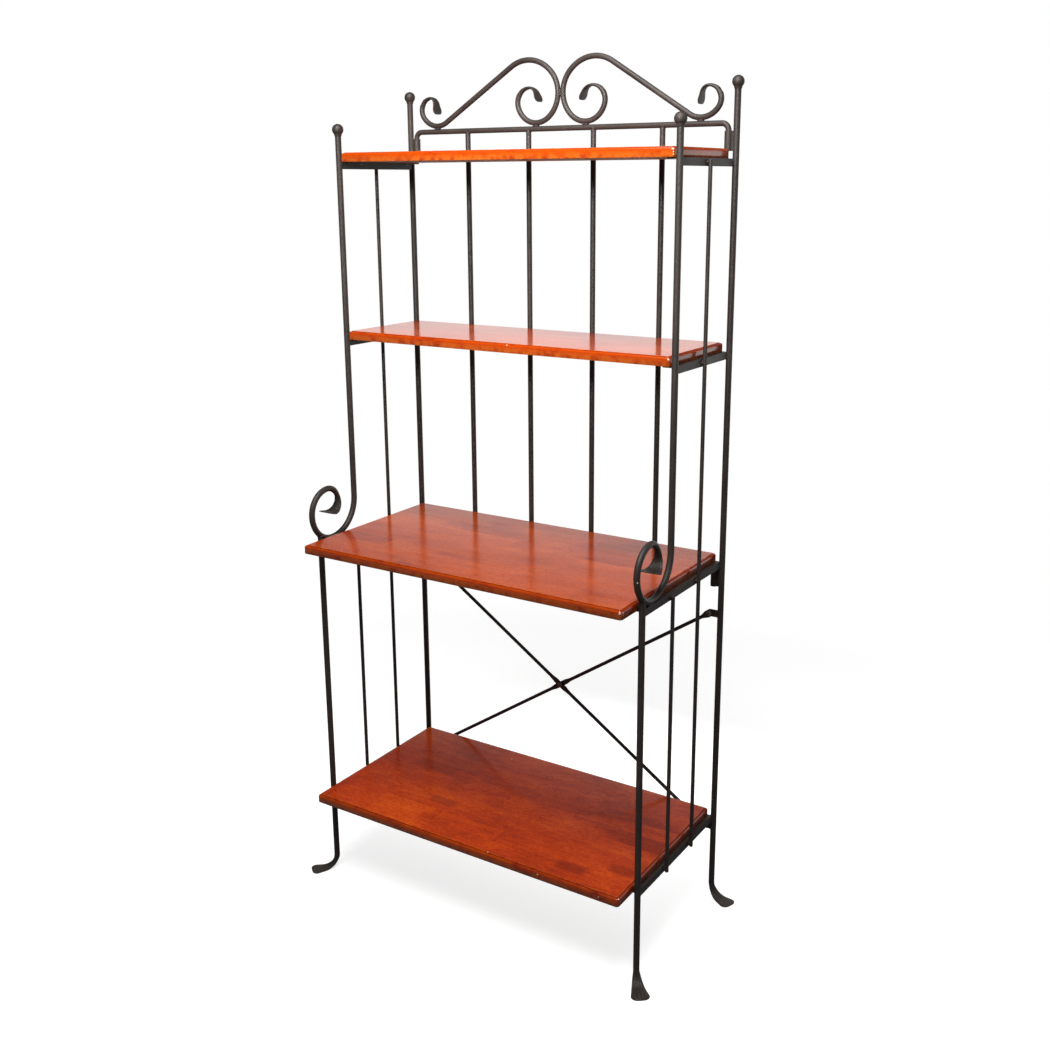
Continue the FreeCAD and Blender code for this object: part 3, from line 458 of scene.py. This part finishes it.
def edge_wear_shade_and_gleam(m, level, colour):
    """Painted shade and pooled stain in the gutter at the foot of the shoulder, painted highlight and
    worn stain on the eased arrises, and knocks to the raw wood.
    """
    # Painted shade: the gutter under the shoulder is darkened, with stain pooled there.
    colour = m.glaze(colour, STAIN_POOL_AND_SHADE, m.painted("gutter"), GUTTER_SHARE)
    # Painted highlight along the eased arrises, with stain worn through in places.
    places = m.rise(m.noise(m.place, ARRIS_GLEAM_AND_WEAR_SCALE, detail=3.0), *ARRIS_GLEAM_AND_WEAR_PLACES)
    lightened = m.math("MULTIPLY", m.painted("eased"), places)
    colour = m.glaze(colour, EDGE_GLEAM_AND_WEAR, lightened, ARRIS_GLEAM_AND_WEAR_SHARE)
    return m.mix(m.near(WOOD_NICKS[level], WOOD_NICK_SCALE), colour, RAW_WOOD)


def cherry_wood(level):
    """Finger-jointed staves under a cherry stain and a clear coat, for one board."""
    m = Recipe(level + "_board_cherry")
    layers = wood_layers(m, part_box(level + "_board")[0], float(LEVELS.index(level) + 1))
    colour = stained_top(m, level, layers)
    colour = marked_top(m, level, layers, colour)
    colour = stained_and_shaded_edge(m, level, layers, colour)
    colour = edge_wear_shade_and_gleam(m, level, colour)
    between_pores = m.rise(layers["pores"], *reversed(PORES))
    ridges = m.math("MULTIPLY", between_pores, 1.0 - FLECK_HEIGHT)
    height = m.math("MULTIPLY_ADD", layers["fleck"], FLECK_HEIGHT, ridges)
    coat = m.bump(along_grain(m, m.place, "wave"), COAT_WAVE_DEPTH, COAT_WAVE_STRENGTH)
    return m.surface(base_color=colour, roughness=0.60, specular_ior_level=0.0,
                     coat_weight=1.0, coat_roughness=0.17,
                     normal=m.bump(height, GRAIN_DEPTH, GRAIN_STRENGTH), coat_normal=coat)


def washed_underside():
    """The boards' undersides: a thin matt wash of stain over pale staves."""
    m = Recipe("washed_underside")
    row = m.math("FLOOR", m.math("MULTIPLY", m.split(m.place)[1], 1 / STAVE_W))
    figure = m.math("MULTIPLY", along_grain(m, m.place, "washed_figure"), 1.0 - WASHED_BLOCK_TONE)
    tone = m.math("MULTIPLY_ADD", m.luck(row, 5.0, 7.0), WASHED_BLOCK_TONE, figure)
    colour = m.ramp(tone, (WASHED_TONES[0], WASHED_STREAK), (WASHED_TONES[1], WASHED_WOOD))
    pores = along_grain(m, m.place, "pores")
    colour = m.glaze(colour, WASHED_STREAK, m.rise(pores, *PORES), WASHED_PORE_SHARE)
    return m.surface(base_color=colour, roughness=0.68, specular_ior_level=0.25,
                     normal=m.bump(pores, GRAIN_DEPTH, GRAIN_STRENGTH))


# ---------------------------------------------------------------- boards
EASE = 0.0005                           # the sharp arrises are sanded down this much
CORNER_R = 0.006
SHOULDER_INSET = 0.0055
SHOULDER_CORNER_R = 0.0025
SHOULDER_H = 0.0012
ROUND_OVER_R = 0.0045
CORNER_STEPS = 8
ROUND_STEPS = 8
GUTTER_STEPS = 2                        # of the round-over, in which the gutter's painted shade and pooled stain fade in


def edge_profile(thickness):
    """(inset, height, corner radius, eased, gutter) up the edge of a board, from below."""
    slab = thickness - SHOULDER_H
    rows = [
        (2 * EASE, 0.0, CORNER_R, 0.0, 0.0),
        (EASE, 0.0, CORNER_R, 1.0, 0.0),
        (0.0, EASE, CORNER_R, 1.0, 0.0),
    ]
    for i in range(ROUND_STEPS + 1):
        turn = math.pi / 2 * i / ROUND_STEPS
        inset = ROUND_OVER_R * (1 - math.cos(turn))
        height = slab - ROUND_OVER_R * (1 - math.sin(turn))
        gutter = max(0.0, 1.0 - (ROUND_STEPS - i) / GUTTER_STEPS)
        rows.append((inset, height, CORNER_R - inset, 0.0, gutter))
    return rows + [
        (SHOULDER_INSET - EASE / 2, slab, SHOULDER_CORNER_R, 0.0, 1.0),
        (SHOULDER_INSET, slab + EASE / 2, SHOULDER_CORNER_R, 0.0, 1.0),
        (SHOULDER_INSET, thickness - EASE / 2, SHOULDER_CORNER_R, 1.0, 0.0),
        (SHOULDER_INSET + EASE / 2, thickness, SHOULDER_CORNER_R, 1.0, 0.0),
        (SHOULDER_INSET + 2 * EASE, thickness, SHOULDER_CORNER_R, 0.0, 0.0),
    ]


def rounded_ring(low, high, inset, corner_r):
    """Points round a rectangle with rounded corners, inset from the board's box."""
    points = []
    for i, (way_x, way_y) in enumerate(((1, 1), (-1, 1), (-1, -1), (1, -1))):
        corner_x = high.x if way_x > 0 else low.x
        corner_y = high.y if way_y > 0 else low.y
        middle_x = corner_x - way_x * (inset + corner_r)
        middle_y = corner_y - way_y * (inset + corner_r)
        for k in range(CORNER_STEPS + 1):
            turn = math.pi / 2 * (i + k / CORNER_STEPS)
            points.append((middle_x + corner_r * math.cos(turn), middle_y + corner_r * math.sin(turn)))
    return points


def join_rings(bm, rings):
    """Faces between each ring of vertices and the next."""
    count = len(rings[0])
    for first, second in zip(rings, rings[1:]):
        for i in range(count):
            j = (i + 1) % count
            bm.faces.new((first[i], first[j], second[j], second[i]))


def object_from(bm, name):
    mesh = bpy.data.meshes.new(name)
    bm.to_mesh(mesh)
    bm.free()
    mesh.shade_smooth()
    made = bpy.data.objects.new(name, mesh)
    bpy.context.scene.collection.objects.link(made)
    return made


def make_board(level, underside_finish):
    """Board with a shouldered round-over and sanded arrises, in place of the plain solid."""
    low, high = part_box(level + "_board")
    bm = bmesh.new()
    eased_layer = bm.verts.layers.float.new("eased")
    gutter_layer = bm.verts.layers.float.new("gutter")
    rings = []
    for inset, height, corner_r, eased, gutter in edge_profile(high.z - low.z):
        ring = []
        for x, y in rounded_ring(low, high, inset, corner_r):
            vertex = bm.verts.new((x, y, low.z + height))
            vertex[eased_layer] = eased
            vertex[gutter_layer] = gutter
            ring.append(vertex)
        rings.append(ring)
    join_rings(bm, rings)
    underside = bm.faces.new(list(reversed(rings[0])))
    underside.material_index = 1
    bm.faces.new(rings[-1])
    board = object_from(bm, level + "_board_edged")
    board.data.materials.append(cherry_wood(level))
    board.data.materials.append(underside_finish)
    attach(board, "rack")
    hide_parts(level + "_board")


# ---------------------------------------------------------------- weld beads
SIDES = {"right": 1, "left": -1}        # and which way is outward along X
# Sizes of the bars and rails that the beads lie on.
POST_R = 0.0065
RAIL_T = 0.003
LOOP_FRONT_R = 0.0605                   # of the scroll's axis, where it stands on the rail
SCROLL_SEAT = 0.004                     # height of the scroll above the rail

BEAD_SIDES = 10
BEAD_STEP = 0.0005
RIPPLE_PITCH = 0.0019
BEAD_WAIST = 0.84                       # of the radius, between two ripples
BEAD_UNEVEN = 0.02                      # of the radius, either way
# Straight beads: radius, and how far they stop short of their seam's start and end.
RAIL_BEAD = (0.0019, 0.0010, 0.0005)
SPINDLE_BEAD = (0.0021, 0.0022, 0.0020)
PLATE_BEAD = (0.0014, 0.0012, 0.0012)
LUG_FOOT_BEAD = (0.0026, 0.0003, 0.0003)
SEAT_BEAD = (0.0022, 0.0010, 0.0010)
CREST_BEAD = (0.0021, 0.0010, 0.0010)
# Beads round a bar: radius, and the degrees at which their path has points.
FLANGE_BEAD_R = 0.0015
FLANGE_TURNS = range(15, 76, 10)
COPE_BEAD_R = 0.0013
COPE_TURNS = range(0, 361, 10)
SADDLE_BEAD_R = 0.0011
SADDLE_TURNS = range(0, 361, 12)

SPINDLE_SEAM_OUT = 1.02                 # radii of the spindle from its axis
SPINDLE_SEAM_PROUD = 0.0008             # out from the rail's face
SLEEVE_WEB_HALF = 0.0030
LUG_FOOT_DROP = 0.0004
SEAT_INSET = 0.0012
SEAT_ROWS = (0.0012, 0.0034)            # heights of the beads that fill the scroll's seat
CREST_ROWS = (-0.0026, 0.0, 0.0026)     # of the crest's beads, from front to back


def small_steps(points):
    """The same path with points a fixed small step apart."""
    result = []
    for first, second in zip(points, points[1:]):
        steps = max(1, round((second - first).length / BEAD_STEP))
        result += [first.lerp(second, k / steps) for k in range(steps)]
    return result + [points[-1]]


def add_bead(bm, points, radius, dice):
    """Rippled weld bead along a path, tapered shut at both ends."""
    path = small_steps(points)
    last = len(path) - 1
    side = None
    rings = []
    for i, point in enumerate(path):
        ahead = (path[min(i + 1, last)] - path[max(i - 1, 0)]).normalized()
        if side is None:
            side = ahead.orthogonal()
        side = (side - ahead * side.dot(ahead)).normalized()
        across = ahead.cross(side)
        ripple = abs(math.sin(math.pi * i * BEAD_STEP / RIPPLE_PITCH))
        swell = BEAD_WAIST + (1 - BEAD_WAIST) * ripple + dice.uniform(-BEAD_UNEVEN, BEAD_UNEVEN)
        end = min(1.0, (min(i, last - i) + 0.5) * BEAD_STEP / radius)
        r = radius * swell * math.sqrt(end * (2 - end))
        ring = []
        for k in range(BEAD_SIDES):
            turn = 2 * math.pi * k / BEAD_SIDES
            ring.append(bm.verts.new(point + (side * math.cos(turn) + across * math.sin(turn)) * r))
        rings.append(ring)
    join_rings(bm, rings)
    bm.faces.new(list(reversed(rings[0])))
    bm.faces.new(rings[-1])


def weld_object(name, seams, body, paint, replaced=()):
    """One piece made of beads, each given as (points, radius)."""
    dice = random.Random(name)
    bm = bmesh.new()
    for points, radius in seams:
        add_bead(bm, points, radius, dice)
    piece = object_from(bm, name)
    piece.data.materials.append(paint)
    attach(piece, body)
    if replaced:
        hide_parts(*replaced)


def box_middle(node):
    low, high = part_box(node)
    return (low + high) / 2


def outer_x(side, low, high):
    return high.x if SIDES[side] > 0 else low.x


def leg_y(side):
    """Where the front leg's axis is."""
    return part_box(side + "_front_leg")[1].y - POST_R


def chord(radius, off_axis):
    """Half the width of a circle, at a distance from its middle."""
    return math.sqrt(max(radius ** 2 - off_axis ** 2, 0.0))


def straight_seam(start, end, bead):
    radius, from_start, from_end = bead
    ahead = (end - start).normalized()
    return [start + ahead * from_start, end - ahead * from_end], radius


def rail_seams(side, level):
    """Beads where a rail meets its front and rear bars, outside and under the flange."""
    low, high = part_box(side + "_" + level + "_rail")
    rear = box_middle(side + "_rear_finial")
    on_leg = level in ("bottom", "work")
    front_y = leg_y(side) if on_leg else box_middle(side + "_front_finial").y
    face_x = outer_x(side, low, high)
    seams = []
    for y, way in ((front_y, 1), (rear.y, -1)):
        seam_y = y + way * chord(POST_R, rear.x - face_x)
        seams.append(straight_seam(Vector((face_x, seam_y, low.z)), Vector((face_x, seam_y, high.z)),
                                   RAIL_BEAD))
        under = []
        for turn in map(math.radians, FLANGE_TURNS):
            under.append(Vector((rear.x - SIDES[side] * POST_R * math.sin(turn),
                                 y + way * POST_R * math.cos(turn), high.z - RAIL_T)))
        seams.append((under, FLANGE_BEAD_R))
    return seams


def spindle_seams(side, spindle, levels):
    """Two upright beads between a spindle and the face of each rail that it crosses."""
    spindle_low, spindle_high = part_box(side + "_" + spindle)
    spindle_r = (spindle_high.x - spindle_low.x) / 2
    middle_y = (spindle_low.y + spindle_high.y) / 2
    seams = []
    for level in levels:
        low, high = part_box(side + "_" + level + "_rail")
        x = outer_x(side, low, high) + SIDES[side] * SPINDLE_SEAM_PROUD
        top = min(high.z, spindle_high.z)
        for way in (-1, 1):
            y = middle_y + way * spindle_r * SPINDLE_SEAM_OUT
            seams.append(straight_seam(Vector((x, y, low.z)), Vector((x, y, top)), SPINDLE_BEAD))
    return seams


def post_seams(side, node, half_web=None):
    """Beads on both faces of a plate, or of a sleeve's web, where it meets the rear post."""
    low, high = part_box(side + "_" + node)
    rear = box_middle(side + "_rear_finial")
    faces = (low.y, high.y) if half_web is None else (rear.y - half_web, rear.y + half_web)
    seams = []
    for y in faces:
        x = rear.x - SIDES[side] * chord(POST_R, y - rear.y)
        seams.append(straight_seam(Vector((x, y, low.z)), Vector((x, y, high.z)), PLATE_BEAD))
    return seams


def lug_foot_seam(side, node):
    """Heavy bead under a brace lug, which rounds its lower edge into the post."""
    low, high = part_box(side + "_" + node)
    x = box_middle(side + "_rear_finial").x - SIDES[side] * POST_R
    z = low.z - LUG_FOOT_DROP
    return straight_seam(Vector((x, low.y, z)), Vector((x, high.y, z)), LUG_FOOT_BEAD)


def leg_seam(side):
    """Bead round the top of the front leg, where it is coped to the scroll."""
    axis_x = box_middle(side + "_rear_finial").x
    axis_y = leg_y(side)
    loop_y = box_middle(side + "_scroll_weld").y
    loop_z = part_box(side + "_work_rail")[1].z + SCROLL_SEAT + POST_R + LOOP_FRONT_R
    points = []
    for turn in map(math.radians, COPE_TURNS):
        across = POST_R * math.cos(turn)
        y = axis_y + POST_R * math.sin(turn)
        outer = LOOP_FRONT_R + chord(POST_R, across)
        points.append(Vector((axis_x + across, y, loop_z - chord(outer, y - loop_y))))
    return points, COPE_BEAD_R


def scroll_seat_seams(side):
    """Beads that fill the seat of the scroll on the work rail."""
    low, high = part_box(side + "_scroll_weld")
    outer = outer_x(side, low, high)
    inner = low.x + high.x - outer
    inset = SIDES[side] * SEAT_INSET
    seams = []
    for x in (outer - inset, (outer + inner) / 2, inner + inset):
        for row in SEAT_ROWS:
            z = low.z + row
            seams.append(straight_seam(Vector((x, low.y, z)), Vector((x, high.y, z)), SEAT_BEAD))
    return seams


def saddle_seam(middle, rod_r, bar_z, way):
    """Bead round the end of a panel bar, coped to a cross bar above (-1) or below (1) it."""
    points = []
    for turn in map(math.radians, SADDLE_TURNS):
        across = rod_r * math.sin(turn)
        points.append(Vector((middle.x + rod_r * math.cos(turn), middle.y + across,
                              bar_z + way * chord(rod_r, across))))
    return points, SADDLE_BEAD_R


def panel_seams():
    seams = []
    for name in sorted(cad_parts):
        if name.startswith("panel_bar_"):
            low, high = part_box(name)
            rod_r = (high.x - low.x) / 2
            for cross_bar, way in (("panel_hoop", -1), ("panel_lower_bar", 1)):
                bar_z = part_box(cross_bar)[1].z - rod_r
                seams.append(saddle_seam((low + high) / 2, rod_r, bar_z, way))
    return seams


def loose_boxes(node):
    """Lowest and highest corner of each separate solid in a node."""
    bm = bmesh.new()
    bm.from_mesh(node.data)
    bmesh.ops.remove_doubles(bm, verts=bm.verts, dist=1e-6)
    unseen = set(bm.verts)
    boxes = []
    while unseen:
        stack = [unseen.pop()]
        group = []
        while stack:
            vertex = stack.pop()
            group.append(vertex.co.copy())
            for edge in vertex.link_edges:
                other = edge.other_vert(vertex)
                if other in unseen:
                    unseen.remove(other)
                    stack.append(other)
        low = Vector([min(place[i] for place in group) for i in range(3)])
        high = Vector([max(place[i] for place in group) for i in range(3)])
        boxes.append((low, high))
    bm.free()
    return sorted(boxes, key=lambda pair: tuple(pair[0]))


def crest_seams():
    """Beads between the crest and the hoop, and between the two scrolls, in three rows."""
    seams = []
    for low, high in loose_boxes(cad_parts["crest_welds"]):
        middle = (low + high) / 2
        size = high - low
        half = Vector((0, 0, size.z / 2)) if size.z > size.x else Vector((size.x / 2, 0, 0))
        for row in CREST_ROWS:
            place = middle + Vector((0, row, 0))
            seams.append(straight_seam(place - half, place + half, CREST_BEAD))
    return seams


def make_welds(paint):
    for side in SIDES:
        seams = []
        for level in LEVELS:
            seams += rail_seams(side, level)
        seams += spindle_seams(side, "long_spindle", LEVELS)
        seams += spindle_seams(side, "short_spindle", ("bottom", "work"))
        for node in ("upper_sleeve", "lower_sleeve"):
            seams += post_seams(side, node, SLEEVE_WEB_HALF)
        for node in ("upper_brace_lug", "lower_brace_lug"):
            seams += post_seams(side, node)
            seams.append(lug_foot_seam(side, node))
        seams.append(leg_seam(side))
        weld_object(side + "_frame_welds", seams, "rack", paint)
        weld_object(side + "_scroll_seat_weld", scroll_seat_seams(side), "rack", paint,
                    (side + "_scroll_weld",))
    weld_object("panel_bar_welds", panel_seams(), "back_panel", paint)
    weld_object("crest_weld_beads", crest_seams(), "back_panel", paint, ("crest_welds",))


# ---------------------------------------------------------------- studio
WHITE = (1.0, 1.0, 1.0)
FLOOR_HALF = 9.0
FLOOR_COLOUR = (0.62, 0.62, 0.62)
FLOOR_LIFT = 0.72                       # what the floor shows to the camera in full shadow
MIRRORED_LIFT = 0.05                    # the same, of the floor as gloss shows it
MIRRORED_DIM = 0.8                      # share of the floor's own light that gloss loses
BOUNCE_DIM = 0.85                       # share of it that does not reach the rack as fill
SHADOW_FADE = (1.3, 2.6)                # from the rack's middle, where its shadow fades out
FILL_STRENGTH = 0.20
AROUND = 0.04                           # how bright gloss shows all else but the wall
WALL_Y = 4.0                            # the wall that gloss shows, behind the rack
WALL_HALF = 7.0
WALL_TOP = 3.3
WALL_LIT = (1.3, 3.0)                   # height over which its light fades out
WALL_STRENGTH = 1.5
SOFTBOXES = (                           # name, place, target, size, power, spread in degrees, mirrored
    ("front_softbox", (0.70, -2.25, 2.20), (0.0, 0.0, 1.62), 0.45, 4.6, 36.0, True),
    ("overhead_softbox", (0.40, -1.10, 3.05), (0.0, 0.0, 0.80), 1.50, 90.0, 180.0, True),
    ("wall_bounce", (0.0, 0.80, 0.55), (0.0, 0.10, 0.25), 0.70, 4.5, 180.0, False),
)


def seen_rays(m):
    """1 for the rays that show the backdrop: the camera's, mirrored and refracted ones."""
    path = m.node("ShaderNodeLightPath").outputs
    bounced = m.math("MAXIMUM", path["Is Glossy Ray"], path["Is Transmission Ray"])
    return m.math("MAXIMUM", path["Is Camera Ray"], bounced), bounced


def make_world():
    """White backdrop for the camera, a dark room in reflections, and a soft fill."""
    world = bpy.data.worlds.new("studio")
    bpy.context.scene.world = world
    world.use_nodes = True
    m = Recipe.on_tree(world.node_tree, "ShaderNodeOutputWorld")
    seen, bounced = seen_rays(m)
    shown = m.math("MULTIPLY_ADD", bounced, AROUND - 1.0, 1.0)
    strength = m.math("MULTIPLY_ADD", seen, m.math("SUBTRACT", shown, FILL_STRENGTH), FILL_STRENGTH)
    m.show(m.node("ShaderNodeBackground", color=WHITE, strength=strength))


def sheet(name, corners, material):
    """Flat rectangle with a material."""
    mesh = bpy.data.meshes.new(name)
    mesh.from_pydata(corners, [], [(0, 1, 2, 3)])
    mesh.materials.append(material)
    made = bpy.data.objects.new(name, mesh)
    bpy.context.scene.collection.objects.link(made)
    return made


def floor_material():
    """Matt floor that keeps the rack's shadow, and fades to white away from the rack."""
    m = Recipe("pale_floor")
    seen, bounced = seen_rays(m)
    away = m.rise(m.vector("LENGTH", m.place), *SHADOW_FADE)
    lift = m.math("MULTIPLY_ADD", bounced, MIRRORED_LIFT - FLOOR_LIFT, FLOOR_LIFT)
    mirrored_loss = m.math("MULTIPLY", bounced, MIRRORED_DIM)
    rim = m.math("SUBTRACT", 1.0, mirrored_loss)
    glow = m.node("ShaderNodeEmission", color=WHITE,
                  strength=m.math("MULTIPLY", seen, m.rise(away, 0.0, 1.0, lift, rim)))
    lighting = m.node("ShaderNodeLightPath").outputs["Is Diffuse Ray"]
    loss = m.math("MAXIMUM", mirrored_loss, m.math("MULTIPLY", lighting, BOUNCE_DIM))
    matt = m.node("ShaderNodeBsdfDiffuse", color=FLOOR_COLOUR)
    faded = m.tree.nodes.new("ShaderNodeMixShader")
    share = m.math("MAXIMUM", m.math("MULTIPLY", seen, away), loss)
    m.put_all((share, matt.outputs[0]), faded.inputs)
    both = m.tree.nodes.new("ShaderNodeAddShader")
    m.put_all((faded.outputs[0], glow.outputs[0]), both.inputs)
    m.show(both)
    return m.material


def make_floor():
    corners = [(-FLOOR_HALF, -FLOOR_HALF, 0), (FLOOR_HALF, -FLOOR_HALF, 0),
               (FLOOR_HALF, FLOOR_HALF, 0), (-FLOOR_HALF, FLOOR_HALF, 0)]
    floor = sheet("floor", corners, floor_material())


def make_card():
    """White wall far behind the rack, lit low down, that only gloss shows."""
    m = Recipe("mirrored_wall")
    height = m.split(m.place)[2]
    m.show(m.node("ShaderNodeEmission", color=WHITE,
                  strength=m.rise(height, *WALL_LIT, WALL_STRENGTH, 0.0)))
    corners = [(-WALL_HALF, WALL_Y, 0), (WALL_HALF, WALL_Y, 0),
               (WALL_HALF, WALL_Y, WALL_TOP), (-WALL_HALF, WALL_Y, WALL_TOP)]
    card = sheet("mirrored_wall", corners, m.material)
    card.visible_camera = False
    card.visible_diffuse = False
    card.visible_transmission = False
    card.visible_shadow = False


def make_lamps():
    for name, place, target, size, power, spread, mirrored in SOFTBOXES:
        data = bpy.data.lights.new(name, "AREA")
        data.shape = "SQUARE"
        data.size = size
        data.energy = power
        data.spread = math.radians(spread)
        lamp = bpy.data.objects.new(name, data)
        bpy.context.scene.collection.objects.link(lamp)
        aim = (Vector(target) - Vector(place)).to_track_quat("-Z", "Y").to_matrix().to_4x4()
        lamp.matrix_world = Matrix.Translation(place) @ aim
        lamp.visible_glossy = mirrored


# ---------------------------------------------------------------- dressing the frame
FASTENERS = ("screws", "bolts", "nuts")


def paint_nodes(paint, steel):
    for name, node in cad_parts.items():
        node.data.materials.clear()
        node.data.materials.append(steel if name.endswith(FASTENERS) else paint)


def main():
    bpy.context.scene.view_settings.view_transform = "Standard"
    make_camera()
    make_world()
    make_floor()
    make_card()
    make_lamps()
    paint = bronze_paint()
    paint_nodes(paint, blackened_steel())
    underside_finish = washed_underside()
    for level in LEVELS:
        make_board(level, underside_finish)
    make_welds(paint)


main()
